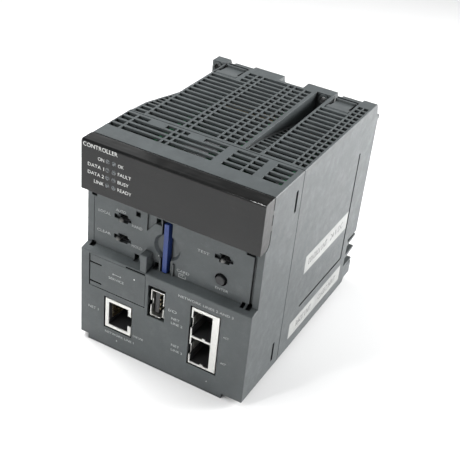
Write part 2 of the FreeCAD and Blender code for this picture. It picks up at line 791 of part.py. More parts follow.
def lan_shield(kind):
    """Folded tin case of a network socket."""
    (x_lo, x_hi, z_lo, z_hi), rear = lan_block(kind)
    outer = block((x_lo, x_hi), (PORT_FACE_Y, rear), (z_lo, z_hi))
    inner = block((x_lo + TIN, x_hi - TIN), (PORT_FACE_Y + TIN, rear - TIN), (z_lo + TIN, z_hi - TIN))
    shield = without(outer, [inner] + lan_cavities(kind))
    return without(joined([shield] + shield_springs(kind)), latch_gates(kind))


def shield_springs(kind):
    """Short tongues of the tin case that bend into each plug space to touch the plug."""
    springs = []
    y_lo = PORT_FACE_Y
    for x_lo, x_hi, z_lo, z_hi, _ in PLUGS[kind]:
        if kind == "dual":
            x = x_lo + 5.0
            springs.append(block((x, x + 1.5), (y_lo, y_lo + TIN), (z_lo - 0.1, z_lo + 0.7)))
            continue
        for low, high in ((z_lo + 0.3, z_lo + 2.2), (z_hi - 2.6, z_hi - 0.4)):
            root = [(x_hi - 0.05, y_lo + TIN), (x_hi + 0.1, y_lo + TIN), (x_hi + 0.1, y_lo)]
            tip = [(x_hi - 0.8, y_lo + 1.6), (x_hi - 0.8, y_lo + 2.0)]
            springs.append(prism(root + tip, "z", low, high))
    return springs


def lan_insert(kind):
    """Moulded inside of a network socket."""
    (x_lo, x_hi, z_lo, z_hi), rear = lan_block(kind)
    gap = TIN + 0.02
    body = block((x_lo + gap, x_hi - gap), (PORT_FACE_Y + gap, rear - gap), (z_lo + gap, z_hi - gap))
    return without(body, lan_cavities(kind))


def lan_contacts(kind):
    """Eight sprung contact wires in each plug space."""
    wires = []
    for x_lo, x_hi, z_lo, z_hi, latch_side in PLUGS[kind]:
        x, way = (x_lo, 1.0) if latch_side > 0 else (x_hi, -1.0)
        for number in range(8):
            z = (z_lo + z_hi) / 2 + (number - 3.5) * CONTACT_PITCH
            spring = x + way * CONTACT_RISE
            outline = [(x, 12.9), (x, 3.0), (x + way * 0.3, 3.0), (spring, 9.0), (spring, 12.9)]
            wires.append(prism(outline, "z", z - CONTACT_WIDE / 2, z + CONTACT_WIDE / 2))
    return group(wires)


def usb_host_shell():
    """Folded tin mouth of the peripheral socket."""
    x_lo, x_hi, z_lo, z_hi = USB_HOST
    outer = block((x_lo, x_hi), (0.6, 18.0), (z_lo, z_hi))
    inner = block((x_lo + TIN, x_hi - TIN), (0.0, 17.4), (z_lo + TIN, z_hi - TIN))
    notches = [
        block((x_lo - 1, x_lo + 1), (0.0, 2.2), (30.8, 33.3)),
        block((x_hi - 1, x_hi + 1), (0.0, 2.2), (30.6, 32.3)),
        block((x_hi - 1.4, x_hi + 1), (0.0, 1.6), (z_lo - 1, z_lo + 1.1)),
    ]
    return without(outer, [inner] + notches)


def usb_host_tongue():
    """Moulded tongue and base of the peripheral socket."""
    x_lo, x_hi, z_lo, z_hi = USB_HOST
    gap = TIN + 0.02
    base = block((x_lo + gap, x_hi - gap), (11.5, 17.38), (z_lo + gap, z_hi - gap))
    tongue = block((37.4, 39.3), (2.2, 11.6), (26.6, 37.7))
    return joined([base, tongue])


def usb_host_contacts():
    """Four contact strips on the tongue."""
    strips = []
    for z in (28.6, 31.0, 33.2, 35.7):
        strips.append(block((39.3, 39.6), (2.8, 11.5), (z - 0.5, z + 0.5)))
    return group(strips)


def service_socket():
    """Small service socket behind the door."""
    outer = block((12.9, 21.1), (2.5, 11.5), (32.7, 36.9))
    outer = rounded(outer, 0.8, lambda p, t: abs(t.y) > 0.9)
    hollow = block((13.3, 20.7), (1.0, 10.0), (33.1, 36.5))
    tongue = block((14.4, 19.6), (3.4, 10.1), (34.4, 35.2))
    return joined([outer.cut(hollow), tongue])


def card_socket():
    """Holder that guides the memory card in and carries its contacts."""
    body = block((37.3, CARD_BOARD_X), (7.2, 40.0), (45.4, 72.2))
    room = block((CARD_X[0] - 0.15, CARD_X[1] + 0.15), (6.0, 36.3), (CARD_Z[0] - 0.15, CARD_Z[1] + 0.15))
    return body.cut(room)


def memory_card():
    """Removable memory card standing on edge in its slot."""
    y_lo, y_hi = CARD_Y
    z_lo, z_hi = CARD_Z
    outline = [(y_lo, z_lo), (y_hi, z_lo), (y_hi, z_hi - 4.0), (y_hi - 4.0, z_hi), (y_lo, z_hi)]
    card = prism(outline, "x", *CARD_X)
    notch = block((CARD_X[0] - 1, CARD_X[1] + 1), (y_lo + 7.0, y_lo + 9.0), (z_lo - 1, z_lo + 0.8))
    return card.cut(notch)


def rear_connector():
    """Backplane connector at the rear of the interface board."""
    body = block(REAR_PLUG[0], (BOARD_REAR, 113.6), REAR_PLUG[1])
    body = rounded(body, 0.6, lambda p, t: abs(t.y) > 0.9)
    holes = []
    for x in PIN_COLUMNS:
        for number in range(PINS_IN_COLUMN):
            z = FIRST_PIN_Z + number * PIN_PITCH
            holes.append(block((x - 0.6, x + 0.6), (109.0, 114.0), (z - 0.6, z + 0.6)))
    return without(body, holes)


def rear_connector_pins():
    """Contacts down in the holes of the backplane connector."""
    pins = []
    for x in PIN_COLUMNS:
        for number in range(PINS_IN_COLUMN):
            z = FIRST_PIN_Z + number * PIN_PITCH
            pins.append(block((x - 0.5, x + 0.5), (109.0, 112.6), (z - 0.3, z + 0.3)))
    return group(pins)


# ---- operators ----
def switch_body(name):
    """Body of a toggle switch, slotted for its lever."""
    x, z, _ = LEVERS[name]
    y = LEVER_PIVOT_Y
    body = block((x - 3.6, x + 3.6), (6.9, 13.5), (z - 3.6, z + 3.6))
    slot = block((x - 2.9, x + 2.9), (6.0, y + 2.2), (z - 1.5, z + 1.5))
    trunnions = rod((x, y, z - 2.6), (x, y, z + 2.6), 0.65)
    return without(body, [slot, trunnions])


def switch_lever(name):
    """Metal bat lever with a ball tip, turning on two trunnions."""
    x, z, rest = LEVERS[name]
    y = LEVER_PIVOT_Y
    stem = Part.makeCone(0.62, 0.8, 5.6, V(x, y - 6.0, z), V(0, 1, 0))
    pieces = [
        stem,
        Part.makeSphere(1.1, V(x, y - 6.2, z)),
        Part.makeSphere(1.2, V(x, y, z)),
        rod((x, y, z - 2.3), (x, y, z + 2.3), 0.6),
    ]
    lever = joined(pieces)
    lever.rotate(V(x, y, z), V(0, 0, 1), rest)
    return lever


def push_button():
    """Round button with a flange that keeps it in its hole."""
    x, z = BUTTON
    front = RECESS_Y - BUTTON_OUT
    pieces = [
        rod((x, front, z), (x, 7.2, z), BUTTON_R),
        rod((x, 7.0, z), (x, 7.6, z), BUTTON_HOLE_R + 0.6),
        rod((x, 7.5, z), (x, 8.0, z), 1.2),
    ]
    button = joined(pieces)
    return rounded(button, 0.4, lambda p, t: p.y < front + 0.1)


def button_switch():
    """Small momentary switch behind the button."""
    x, z = BUTTON
    body = block((x - 2.8, x + 2.8), (9.8, 13.5), (z - 2.8, z + 2.8))
    return joined([body, rod((x, 9.15, z), (x, 10.0, z), 1.2)])


def service_door():
    """Hinged door over the service socket, with its two pivot stubs."""
    x_lo, x_hi, z_lo, z_hi = DOOR
    ax, ay = DOOR_AXIS
    radius = DOOR_T / 2
    plate = block((ax, x_hi), (0.0, DOOR_T), (z_lo, z_hi))
    plate = rounded(plate, 0.4, lambda p, t: p.y < 0.01 and p.x > ax + 0.1 and abs(t.y) < 0.1)
    barrel = rod((ax, ay, z_lo), (ax, ay, z_hi), radius)
    stubs = rod((ax, ay, z_lo - 0.8), (ax, ay, z_hi + 0.7), 0.45)
    door = joined([plate, barrel, stubs])
    slits = [block((x_lo - 0.5, 10.9), (-0.5, 0.7), (z - 0.35, z + 0.35)) for z in (40.4, 30.5)]
    hollow = block((ax + 1.5, x_hi - 1.5), (1.1, 3.0), (z_lo + 1.5, z_hi - 1.5))
    return without(door, slits + [hollow])


def bottom_cover():
    """Cover under the battery, hinged along its rear edge."""
    x_lo, x_hi, y_lo, _ = COVER
    y, z = COVER_AXIS
    half = COVER_T / 2
    plate = block((x_lo, x_hi), (y_lo, y), (z - half, z + half))
    plate = rounded(plate, 2.0, lambda p, t: abs(t.z) > 0.9 and p.y < y_lo + 0.1)
    barrel = rod((x_lo, y, z), (x_hi, y, z), half)
    cover = joined([plate, barrel])
    cuts = [rod((x_lo - 1, y, z), (x_hi + 1, y, z), 0.45)]
    for x in LUGS_X:
        cuts.append(block((x - 0.2, x + LUG_WIDTH + 0.2), (y - 2.4, y + 2), (-3, 1)))
    for number in range(6):
        groove_y = y_lo + 4.0 + number * 1.6
        cuts.append(block((30.0, 48.0), (groove_y, groove_y + 0.7), (-3, z - half + 0.4)))
    return without(cover, cuts)


def cover_hinge_pins():
    """Two short steel pins of the bottom cover's hinge."""
    y, z = COVER_AXIS
    reach = 2.5
    return group([rod((x - reach, y, z), (x + LUG_WIDTH + reach, y, z), HINGE_PIN_R) for x in LUGS_X])


def fixing_hook(name):
    """Sprung hook with a finger pad and a raised rear lip, claw to the rear."""
    x_lo, x_hi = HOOKS[name]
    py, pz = HOOK_PIVOT
    top = HEIGHT - 0.1
    lip_lo, lip_hi = HOOK_LIP
    dish = [
        (91.5, 96.9),
        (93.0, top),
        (96.5, top - 0.3),
        (lip_lo - 0.2, top - 1.0),
        (lip_lo, top),
        (lip_lo + LIP_RIDGE, top),
        (lip_lo + LIP_RIDGE, top - LIP_GROOVE_DEPTH),
        (lip_hi - LIP_RIDGE, top - LIP_GROOVE_DEPTH),
        (lip_hi - LIP_RIDGE, top),
        (lip_hi, top),
        (lip_hi, 95.6),
        (112.6, 95.6),
        (113.4, 94.9),
        (113.4, 93.6),
        (111.6, 93.6),
        (111.0, 94.3),
        (104.4, 94.3),
        (103.6, 94.6),
        (101.5, 94.7),
        (96.0, 94.2),
        (91.5, 94.2),
    ]
    hook = prism(dish, "x", x_lo, x_hi)
    slit_y, slit = HOOK_SLIT
    neck_y = lip_lo + 0.05
    narrow = [
        block((x_lo - 1, x_lo + HOOK_NECK), (neck_y, DEPTH + 5), (90, 100)),
        block((x_hi - HOOK_NECK, x_hi + 1), (neck_y, DEPTH + 5), (90, 100)),
        block((x_lo - 1, x_lo + slit), (slit_y, neck_y + 0.1), (90, 100)),
        block((x_hi - slit, x_hi + 1), (slit_y, neck_y + 0.1), (90, 100)),
        rod((x_lo - 1, py, pz), (x_hi + 1, py, pz), HOOK_PIN_R + 0.05),
    ]
    return without(hook, narrow)


def hook_pin(name):
    """Steel pin that a fixing hook turns on."""
    x_lo, x_hi = HOOKS[name]
    y, z = HOOK_PIVOT
    return rod((x_lo - HOOK_PIN_OUT, y, z), (x_hi + HOOK_PIN_OUT, y, z), HOOK_PIN_R)


# ---- inner electronics ----
def battery():
    """Lithium cell lying in the battery compartment."""
    x, z = CELL_AXIS
    y_lo, y_hi = CELL_Y
    cell = rod((x, y_lo, z), (x, y_hi, z), CELL_R)
    tip = rod((x, y_hi, z), (x, y_hi + 0.8, z), 2.6)
    return joined([cell, tip])


def battery_socket():
    """Plug and socket of the battery lead, on the compartment's side."""
    return block((33.6, 37.9), (60.0, 67.0), (6.0, 11.0))


def battery_lead():
    """Short pair of wires from the cell round to its plug."""
    wires = []
    turn = 4.0
    inset = turn * (1 - math.sqrt(0.5))
    left, right = CELL_AXIS[0], 35.8
    bend_y = 74.4
    far_y = bend_y + turn
    for z in WIRES_Z:
        start = V(left, CELL_Y[1] + 0.8, z)
        rise = V(left, bend_y, z)
        over = V(left + turn, far_y, z)
        back = V(right - turn, far_y, z)
        fall = V(right, bend_y, z)
        edges = [
            Part.LineSegment(start, rise).toShape(),
            Part.Arc(rise, V(left + inset, far_y - inset, z), over).toShape(),
            Part.LineSegment(over, back).toShape(),
            Part.Arc(back, V(right - inset, far_y - inset, z), fall).toShape(),
            Part.LineSegment(fall, V(right, 67.0, z)).toShape(),
        ]
        ring = Part.Wire(Part.makeCircle(WIRE_R, start, V(0, 1, 0)))
        wires.append(Part.Wire(edges).makePipeShell([ring], True, False))
    return group(wires)


def processor():
    """Main processor on the main board."""
    half = CHIP_SIZE / 2
    y, z = CHIP_CENTRE
    return block((MAIN_X - CHIP_T, MAIN_X), (y - half, y + half), (z - half, z + half))


def heat_sink():
    """Finned aluminium block on the processor."""
    face = MAIN_X - CHIP_T
    half = SINK_SIZE / 2
    centre_y, centre_z = CHIP_CENTRE
    y = (centre_y - half, centre_y + half)
    pieces = [block((face - 2.5, face), y, (centre_z - half, centre_z + half))]
    pitch = (SINK_SIZE - SINK_FIN_T) / (SINK_FINS - 1)
    for number in range(SINK_FINS):
        z = centre_z - half + number * pitch
        pieces.append(block((face - 11.0, face - 2.4), y, (z, z + SINK_FIN_T)))
    return joined(pieces)


def memory_chips():
    """Memory chips beside the processor."""
    chips = []
    for y in (78.0, 91.5):
        for z in (48.0, 62.0):
            chips.append(block((MAIN_X - 1.2, MAIN_X), (y, y + 10.0), (z, z + 8.0)))
    return group(chips)


def transformers():
    """Isolating transformers behind the network sockets."""
    return group([
        block((INTERFACE_X + BOARD_T, 19.0), (19.5, 33.0), (9.0, 22.0)),
        block((64.8, MAIN_X), (25.5, 38.5), (10.0, 23.0)),
        block((64.8, MAIN_X), (25.5, 38.5), (26.0, 39.0)),
    ])


def power_capacitors():
    """Electrolytic capacitors on the interface board."""
    x = INTERFACE_X + BOARD_T
    cans = []
    for y, z in ((56.0, 60.0), (68.0, 60.0), (56.0, 73.0), (68.0, 73.0)):
        can = rod((x, y, z), (x + 16.0, y, z), 5.0)
        cans.append(can.makeFillet(0.6, [edge for edge in can.Edges if edge.BoundBox.XMin > x + 15.9]))
    return group(cans)


def inductors():
    """Ring chokes of the power stage, on the interface board."""
    x = INTERFACE_X + BOARD_T
    rings = []
    for z in (52.0, 70.0):
        rings.append(Part.makeTorus(4.6, 2.4, V(x + 2.4, 82.0, z), V(1, 0, 0)))
    return group(rings)


NODES = {
    "front_shell": front_shell,
    "rear_case": rear_case,
    "lamp_cover": lamp_cover,
    "light_guides": light_guides,
    "indicator_leds": indicator_leds,
    "led_board": led_board,
    "service_door": service_door,
    "service_socket": service_socket,
    "bottom_cover": bottom_cover,
    "cover_hinge_pins": cover_hinge_pins,
    "battery": battery,
    "battery_lead": battery_lead,
    "battery_socket": battery_socket,
    "interface_board": interface_board,
    "card_board": card_board,
    "main_board": main_board,
    "board_links": board_links,
    "board_screws": board_screws,
    "standoffs": standoffs,
    "rear_connector": rear_connector,
    "rear_connector_pins": rear_connector_pins,
    "usb_host_shell": usb_host_shell,
    "usb_host_tongue": usb_host_tongue,
    "usb_host_contacts": usb_host_contacts,
    "card_socket": card_socket,
    "memory_card": memory_card,
    "push_button": push_button,
    "button_switch": button_switch,
    "processor": processor,
    "heat_sink": heat_sink,
    "memory_chips": memory_chips,
    "transformers": transformers,
    "power_capacitors": power_capacitors,
    "inductors": inductors,
    "side_label_upper": lambda: side_label(*LABEL_UPPER),
    "side_label_lower": lambda: side_label(*LABEL_LOWER),
}


def build():
    """Every node's shape by name."""
    shapes = {name: make() for name, make in NODES.items()}
    for kind in ("single", "dual"):
        shapes["lan_%s_shield" % kind] = lan_shield(kind)
        shapes["lan_%s_insert" % kind] = lan_insert(kind)
        shapes["lan_%s_contacts" % kind] = lan_contacts(kind)
    for name in LEVERS:
        shapes["switch_%s_body" % name] = switch_body(name)
        shapes["switch_%s_lever" % name] = switch_lever(name)
    for name in HOOKS:
        shapes["fixing_hook_" + name] = fixing_hook(name)
        shapes["hook_pin_" + name] = hook_pin(name)
        shapes["operator_board_" + name] = operator_board(name)
    return shapes


def export(shapes):
    """Move everything to the part's frame and write one STEP file a node."""
    os.makedirs("parts", exist_ok=True)
    for name, shape in shapes.items():
        shape.translate(V(-WIDTH / 2, -DEPTH / 2, COVER_DROP))
        shape.exportStep("parts/%s.step" % name)


export(build())
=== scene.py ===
import json
import math

import bmesh
import bpy
from mathutils import Matrix, Vector


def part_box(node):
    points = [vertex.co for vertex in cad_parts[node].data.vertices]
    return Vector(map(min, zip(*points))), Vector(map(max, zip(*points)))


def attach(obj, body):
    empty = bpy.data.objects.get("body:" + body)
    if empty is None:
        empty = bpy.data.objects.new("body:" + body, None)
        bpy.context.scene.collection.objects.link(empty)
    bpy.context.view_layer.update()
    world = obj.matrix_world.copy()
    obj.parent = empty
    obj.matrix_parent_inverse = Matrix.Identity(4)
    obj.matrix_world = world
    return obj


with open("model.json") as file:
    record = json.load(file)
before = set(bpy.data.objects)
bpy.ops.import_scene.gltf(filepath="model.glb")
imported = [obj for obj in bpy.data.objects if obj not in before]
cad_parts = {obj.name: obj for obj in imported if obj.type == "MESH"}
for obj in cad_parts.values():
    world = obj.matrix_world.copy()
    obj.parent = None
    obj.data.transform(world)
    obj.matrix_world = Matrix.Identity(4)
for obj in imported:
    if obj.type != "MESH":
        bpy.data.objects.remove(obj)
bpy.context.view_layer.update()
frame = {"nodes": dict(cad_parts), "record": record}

MM = 0.001
OPAQUE = 1.0

# camera: angles in degrees, and its aim above the case's underside
AZIMUTH = 26.07
ELEVATION = 32.933
ROLL = 6.108
DISTANCE = 423.58 * MM
OFFSET_RIGHT = 0.93 * MM
OFFSET_UP = 6.936 * MM
LENS = 72.786
TARGET_HEIGHT = 49.0 * MM
CLIP_NEAR = 0.01
CLIP_FAR = 50.0

# the case's own corner: left, front, underside (the skirt hangs below it)
CASE_HEIGHT = 98.0 * MM
shell_low, shell_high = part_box("front_shell")
CORNER = Vector((shell_low.x, shell_low.y, shell_high.z - CASE_HEIGHT))
WIDTH = shell_high.x - shell_low.x

# printing: the switch recess lies this far behind the front, ink stands this proud
RECESS_DEPTH = 4.8
INK_HEIGHT = 0.02
FONT_STEPS = 3
FONT_WEIGHT = 0.004
SAME_POINT = 1e-5

# shader nodes: rays for rounded edges and for corners, sockets of a colour mix,
# the middle of a noise, and how far an edge turns the surface
BEVEL_SAMPLES = 6
CORNER_SAMPLES = 8
MIX_FACTOR, MIX_FIRST, MIX_SECOND, MIX_RESULT = 0, 6, 7, 2
NOISE_LOW, NOISE_HIGH = 0.3, 0.7
EDGE_ALIGNED, EDGE_TURNED = 0.995, 0.80

# colours shared between materials
CASE_TONE = (0.054, 0.0615, 0.0635)
DUST_TONE = (0.20, 0.20, 0.19)
# painted shade: the near-black laid into the moulded plastic's creases and corners
PAINTED_CREASE_SHADE = (0.003, 0.003, 0.0035)
FLOOR_TONE = (0.86, 0.86, 0.86)
FLOOR_REACH = 6.0

# height of the direction looked in, and how bright the room is there
SKY = ((0.0, 1.1), (0.3, 0.9), (0.52, 0.2), (0.95, 0.36))
SKY_TINT = (1.0, 1.005, 1.01)

# lights: name, place, aim, size of the square, watts, and whether glossy surfaces mirror it
LIGHTS = (
    ("key", (0.40, 0.30, 0.20), (0.04, 0.03, 0.09), 0.26, 4.8, True),
    ("overhead", (-0.24, 0.0, 0.42), (0.0, 0.0, 0.08), 0.22, 2.65, False),
    ("fill", (-0.45, -0.60, 0.40), (0.0, 0.0, 0.05), 0.35, 2.9, False),
    ("card", (-0.52, 0.42, 0.42), (0.0, 0.0, 0.1), 0.35, 0.14, True),
    ("glint", (-0.108, -0.309, 0.437), (0.038, -0.057, 0.099), 0.028, 0.3, True),
)


def at(x, y, z):
    """Place given in millimetres from the casing's left side, front plane and underside."""
    return CORNER + Vector((x, y, z)) * MM


# ---- material building ----
class Shader:
    """Node material with a Principled shader, written one call per node."""

    def __init__(self, name, **sockets):
        self.material = bpy.data.materials.new(name)
        self.material.use_nodes = True
        self.tree = self.material.node_tree
        self.tree.nodes.clear()
        self.output = self.tree.nodes.new("ShaderNodeOutputMaterial")
        self.main = self.tree.nodes.new("ShaderNodeBsdfPrincipled")
        self.tree.links.new(self.main.outputs["BSDF"], self.output.inputs["Surface"])
        for socket, value in sockets.items():
            self.main.inputs[socket.replace("_", " ")].default_value = value
        coords = self.tree.nodes.new("ShaderNodeTexCoord")
        self.place = coords.outputs["Object"]

    def feed(self, socket, value):
        """Give a socket a value, or link another node's output to it."""
        if isinstance(value, bpy.types.NodeSocket):
            self.tree.links.new(value, socket)
        else:
            socket.default_value = value

    def add(self, kind, out, settings=None, numbered=(), **inputs):
        """One node with its inputs by name, or numbered from the first, and one of its outputs."""
        node = self.tree.nodes.new("ShaderNode" + kind)
        for key, value in (settings or {}).items():
            setattr(node, key, value)
        for index, value in enumerate(numbered):
            self.feed(node.inputs[index], value)
        for key, value in inputs.items():
            self.feed(node.inputs[key], value)
        return node.outputs[out]

    def stretched(self, scale):
        """Object coordinates scaled differently along each axis."""
        return self.add("Mapping", "Vector", Vector=self.place, Scale=scale)

    def noise(self, size_mm, detail=3.0, rough=0.5, vector=None):
        """Soft noise whose blobs are about size_mm across."""
        inputs = {"Scale": 1.0 / (size_mm * MM), "Detail": detail, "Roughness": rough}
        return self.add("TexNoise", "Fac", Vector=vector or self.place, **inputs)

    def calc(self, operation, a, b=0.0, clamp=False):
        """Math node."""
        return self.add("Math", "Value", {"operation": operation, "use_clamp": clamp}, (a, b))

    def span(self, value, low, high, to_low, to_high):
        """Map a range of values to another."""
        inputs = {"From Min": low, "From Max": high, "To Min": to_low, "To Max": to_high}
        return self.add("MapRange", "Result", {"clamp": True}, Value=value, **inputs)

    def spread(self, noise, to_low=0.0, to_high=1.0):
        """Stretch the middle of a noise over a range."""
        return self.span(noise, NOISE_LOW, NOISE_HIGH, to_low, to_high)

    def mix(self, factor, first, second):
        """Mix of two colours."""
        node = self.tree.nodes.new("ShaderNodeMix")
        node.data_type = "RGBA"
        self.feed(node.inputs[MIX_FACTOR], factor)
        for index, tone in ((MIX_FIRST, first), (MIX_SECOND, second)):
            self.feed(node.inputs[index], (*tone, OPAQUE) if isinstance(tone, tuple) else tone)
        return node.outputs[MIX_RESULT]

    def rounded(self, radius_mm):
        """Normal of the surface as if its edges were rounded."""
        return self.add("Bevel", "Normal", {"samples": BEVEL_SAMPLES}, Radius=radius_mm * MM)

    def edges(self, radius_mm):
        """1 on convex and concave edges within radius_mm, 0 on flats."""
        soft = self.rounded(radius_mm)
        flat = self.add("NewGeometry", "Normal")
        dot = self.add("VectorMath", "Value", {"operation": "DOT_PRODUCT"}, (soft, flat))
        return self.span(dot, EDGE_TURNED, EDGE_ALIGNED, 1.0, 0.0)

    def crevice(self, reach_mm):
        """0 in corners, 1 in the open."""
        settings = {"samples": CORNER_SAMPLES}
        return self.add("AmbientOcclusion", "AO", settings, Distance=reach_mm * MM)

    def colour(self, value):
        """Base colour, as a value or from another node's output."""
        self.feed(self.main.inputs["Base Color"], value)

    def roughness(self, value):
        """Roughness from another node's output."""
        self.feed(self.main.inputs["Roughness"], value)

    def bump(self, height, depth_mm, strength=1.0, bevel_mm=0.0):
        """Bump from a height, over edges softened by bevel_mm."""
        inputs = {"Height": height, "Strength": strength, "Distance": depth_mm * MM}
        if bevel_mm:
            inputs["Normal"] = self.rounded(bevel_mm)
        self.feed(self.main.inputs["Normal"], self.add("Bump", "Normal", **inputs))


def scaled(tone, factor):
    """Colour made lighter or darker."""
    return tuple(c * factor for c in tone)


def moulded_plastic(name, tone, rough, grain_mm, grain_depth, wear=0.15):
    """Spark-textured moulding: fine grain, handling smudges, light edges, and painted shade in
    creases and corners.
    """
    s = Shader(name, Specular_IOR_Level=0.5)
    cloud = s.noise(16.0, 5.0, 0.62)
    smudge = s.noise(5.0, 5.0, 0.7)
    fleck = s.noise(0.7, 2.0)
    body = s.mix(s.spread(cloud), scaled(tone, 0.84), scaled(tone, 1.16))
    body = s.mix(s.span(smudge, 0.52, 0.75, 0.0, 0.30), body, scaled(tone, 1.7))
    body = s.mix(s.span(fleck, 0.60, 0.76, 0.0, 0.22), body, scaled(tone, 2.2))
    edge = s.calc("MULTIPLY", s.edges(0.3), s.span(s.noise(4.0, 3.0), 0.35, 0.65, 0.2, 1.0))
    body = s.mix(s.calc("MULTIPLY", edge, wear), body, scaled(tone, 2.6))
    dust = s.calc("SUBTRACT", 1.0, s.crevice(7.0))
    dust = s.calc("MULTIPLY", dust, s.span(s.noise(6.0, 4.0), 0.42, 0.66, 0.0, 0.2))
    body = s.mix(dust, body, DUST_TONE)
    # painted shade: within 3.2 mm of a corner or crease the colour runs to near-black and the
    # specular fades, standing in for the shade that falls there
    outside_painted_shade = s.span(s.crevice(3.2), 0.28, 0.74, 0.0, 1.0)
    s.colour(s.mix(outside_painted_shade, PAINTED_CREASE_SHADE, body))
    s.feed(s.main.inputs["Specular IOR Level"], s.span(outside_painted_shade, 0.0, 1.0, 0.08, 0.5))
    shine = s.calc("ADD", s.spread(cloud, -0.05, 0.05), s.span(smudge, 0.35, 0.7, 0.05, -0.07))
    s.roughness(s.calc("ADD", shine, rough))
    grain = s.calc("ADD", s.noise(grain_mm, 3.0, 0.65), s.calc("MULTIPLY", s.noise(4.5, 2.0), 0.9))
    s.bump(grain, grain_depth, 0.6, bevel_mm=0.22)
    return s.material


def smoked_gloss(name):
    """Polished near-black cover with faint moulding waves, hairline scratches and dust."""
    s = Shader(name, Specular_IOR_Level=0.42)
    dust = s.span(s.noise(0.8, 4.0, 0.7), 0.58, 0.80, 0.0, 0.2)
    haze = s.span(s.noise(9.0, 5.0, 0.65), 0.35, 0.75, 0.0, 1.0)
    body = s.mix(haze, (0.0015, 0.0018, 0.002), (0.0075, 0.0075, 0.007))
    hair = s.span(s.noise(0.30, 2.0, 0.5, s.stretched((0.03, 1.0, 1.0))), 0.66, 0.74, 0.0, 0.35)
    cross = s.span(s.noise(0.30, 2.0, 0.5, s.stretched((1.0, 0.04, 0.06))), 0.68, 0.76, 0.0, 0.25)
    marks = s.calc("ADD", hair, cross, clamp=True)
    body = s.mix(marks, body, (0.035, 0.035, 0.034))
    # lighter edges: partly rubbed wear, partly a painted highlight where the cover's corners catch
    # the light
    lighter_edge = s.calc("MULTIPLY", s.edges(0.3), s.span(s.noise(5.0, 3.0), 0.42, 0.62, 0.05, 0.55))
    body = s.mix(lighter_edge, body, (0.22, 0.22, 0.215))
    s.colour(s.mix(dust, body, (0.07, 0.07, 0.068)))
    smear = s.span(s.noise(6.0, 5.0, 0.7), 0.3, 0.75, 0.05, 0.14)
    s.roughness(s.calc("ADD", smear, s.calc("MULTIPLY", marks, 0.25)))
    wave = s.calc("ADD", s.noise(11.0, 2.0), s.calc("MULTIPLY", s.noise(0.5, 2.0), 0.03))
    flow = s.noise(2.5, 2.0, 0.5, s.stretched((0.08, 1.0, 1.0)))
    wave = s.calc("ADD", wave, s.calc("MULTIPLY", flow, 0.35))
    s.bump(wave, 0.3, 0.5, bevel_mm=0.2)
    return s.material


def rolled_tin(name, tone=(0.86, 0.86, 0.83), rough=0.3):
    """Tinned sheet: rolling lines, fingerprints' haze and slightly dull edges."""
    s = Shader(name, Metallic=1.0)
    lines = s.noise(0.22, 3.0, 0.6, s.stretched((1.0, 1.0, 0.06)))
    haze = s.noise(3.0, 4.0, 0.6)
    body = s.mix(s.span(haze, 0.35, 0.7, 0.0, 1.0), scaled(tone, 0.86), tone)
    s.colour(s.mix(s.calc("MULTIPLY", s.edges(0.12), 0.25), body, (0.5, 0.49, 0.46)))
    dull = s.spread(haze, rough - 0.05, rough + 0.1)
    s.roughness(s.calc("ADD", s.spread(lines, -0.07, 0.09), dull))
    s.bump(lines, 0.01, 0.5, bevel_mm=0.12)
    return s.material


def turned_metal(name, tone, rough=0.22):
    """Turned or plated metal with fine tool rings and a little tarnish."""
    s = Shader(name, Metallic=1.0)
    rings = s.noise(0.12, 2.0, 0.5, s.stretched((1.0, 0.1, 1.0)))
    tarnish = s.span(s.noise(1.6, 4.0, 0.6), 0.45, 0.7, 0.0, 0.4)
    s.colour(s.mix(tarnish, tone, scaled(tone, 0.55)))
    dull = s.calc("ADD", s.calc("MULTIPLY", tarnish, 0.3), rough)
    s.roughness(s.calc("ADD", s.spread(rings, -0.05, 0.08), dull))
    s.bump(rings, 0.008, 0.4, bevel_mm=0.1)
    return s.material


def glossy_moulding(name, tone, rough, fleck=0.1):
    """Small smooth moulding with soft flow marks."""
    s = Shader(name, Specular_IOR_Level=0.5)
    flow = s.noise(2.2, 4.0, 0.6, s.stretched((1.0, 0.3, 1.0)))
    body = s.mix(s.spread(flow), scaled(tone, 1.0 - fleck), scaled(tone, 1.0 + fleck))
    # edges rubbed lighter by wear
    lighter_edge = tuple(min(c * 2.0 + 0.01, 1.0) for c in tone)
    s.colour(s.mix(s.calc("MULTIPLY", s.edges(0.2), 0.3), body, lighter_edge))
    s.roughness(s.span(flow, 0.25, 0.75, rough - 0.06, rough + 0.08))
    s.bump(s.noise(0.3, 3.0), 0.015, 0.4, bevel_mm=0.12)
    return s.material


def circuit_laminate(name):
    """Solder mask over copper: tracks as a fine right-angled maze, pads and weave."""
    s = Shader(name, Specular_IOR_Level=0.5)
    upright = s.add("Mapping", "Vector", Vector=s.place, Rotation=(0.0, math.pi / 2, 0.0))
    sizes = {"Scale": 210.0, "Mortar Size": 0.045, "Brick Width": 0.9, "Row Height": 0.31}
    cell = s.add("TexBrick", "Fac", {"offset": 0.37, "squash": 1.0}, Vector=upright, **sizes)
    spots = s.add("TexVoronoi", "Distance", Vector=s.place, Scale=330.0)
    pad = s.span(spots, 0.10, 0.14, 1.0, 0.0)
    weave = s.noise(0.35, 2.0, 0.5, s.stretched((1.0, 1.0, 0.3)))
    mask = s.mix(s.spread(weave), (0.004, 0.045, 0.016), (0.006, 0.062, 0.024))
    mask = s.mix(cell, mask, (0.016, 0.14, 0.055))
    s.colour(s.mix(pad, mask, (0.62, 0.55, 0.36)))
    s.feed(s.main.inputs["Metallic"], pad)
    s.roughness(s.spread(weave, 0.24, 0.36))
    s.bump(s.calc("ADD", cell, s.calc("MULTIPLY", pad, 1.5)), 0.03, 0.5, bevel_mm=0.1)
    return s.material


